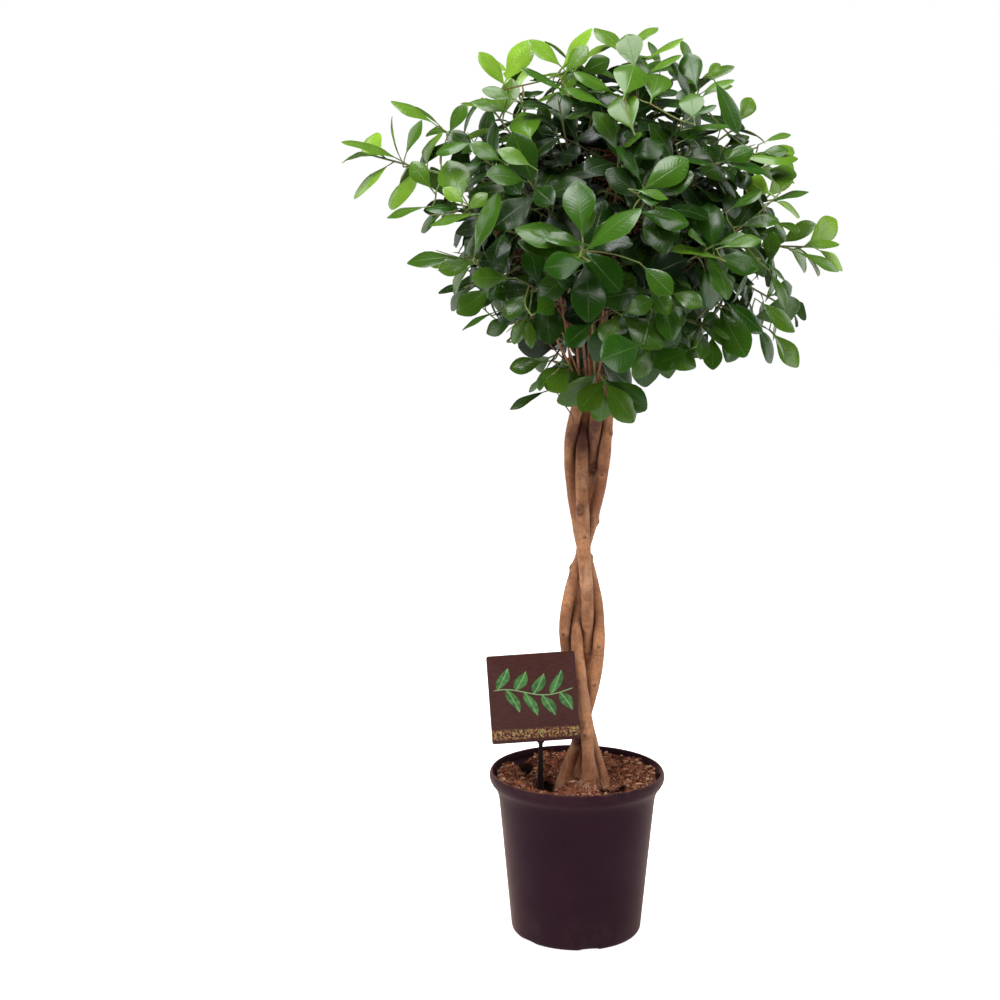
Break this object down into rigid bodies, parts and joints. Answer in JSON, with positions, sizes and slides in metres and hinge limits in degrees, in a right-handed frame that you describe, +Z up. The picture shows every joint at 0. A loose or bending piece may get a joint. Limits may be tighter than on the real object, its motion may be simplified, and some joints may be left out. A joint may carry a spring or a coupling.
{
  "type": "potted braided ficus",
  "caption": "Potted ficus tree with a braided trunk, a round leafy crown, soil in a flared plastic pot and a plant tag on a stake.",
  "frame": {"origin": "middle of the pot's underside, on the floor", "axes": "+Z up along the trunk, +X to the right and -Y towards the viewer, seen from the side with the tag in front"},
  "size_m": [0.6147, 0.488, 1.1502],
  "materials": {
    "pot_plastic": "satin dark brown moulded plastic",
    "soil": "rough coir and bark chips, moist",
    "bark": "smooth pale brown bark with lenticels",
    "leaf": "glossy leathery green leaves",
    "card": "printed dark brown card",
    "stake": "satin black"
  },
  "bodies": {
    "root": {"pot": "pot_plastic", "soil": "soil", "spray_01": "leaf", "spray_02": "leaf", "spray_03": "leaf", "spray_04": "leaf", "spray_05": "leaf", "spray_06": "leaf", "spray_07": "leaf", "spray_08": "leaf", "spray_09": "leaf", "spray_10": "leaf", "spray_11": "leaf", "spray_12": "leaf", "spray_13": "leaf", "spray_14": "leaf", "spray_15": "leaf", "spray_16": "leaf", "spray_17": "leaf", "spray_18": "leaf", "spray_19": "leaf", "spray_20": "leaf", "spray_21": "leaf", "spray_22": "leaf", "spray_23": "leaf", "spray_24": "leaf", "spray_25": "leaf", "spray_26": "leaf", "spray_27": "leaf", "spray_28": "leaf", "spray_29": "leaf", "spray_30": "leaf", "spray_31": "leaf", "spray_32": "leaf", "spray_33": "leaf", "spray_34": "leaf", "spray_35": "leaf", "spray_36": "leaf", "spray_37": "leaf", "spray_38": "leaf", "spray_39": "leaf", "spray_40": "leaf", "spray_41": "leaf", "spray_42": "leaf", "spray_43": "leaf", "spray_44": "leaf", "spray_45": "leaf", "spray_46": "leaf", "spray_47": "leaf", "spray_48": "leaf", "spray_49": "leaf", "spray_50": "leaf", "spray_51": "leaf", "stem_1": "bark", "stem_2": "bark", "stem_3": "bark", "stem_4": "bark", "tag_card": "card", "tag_stake": "stake"}
  },
  "joints": []
}
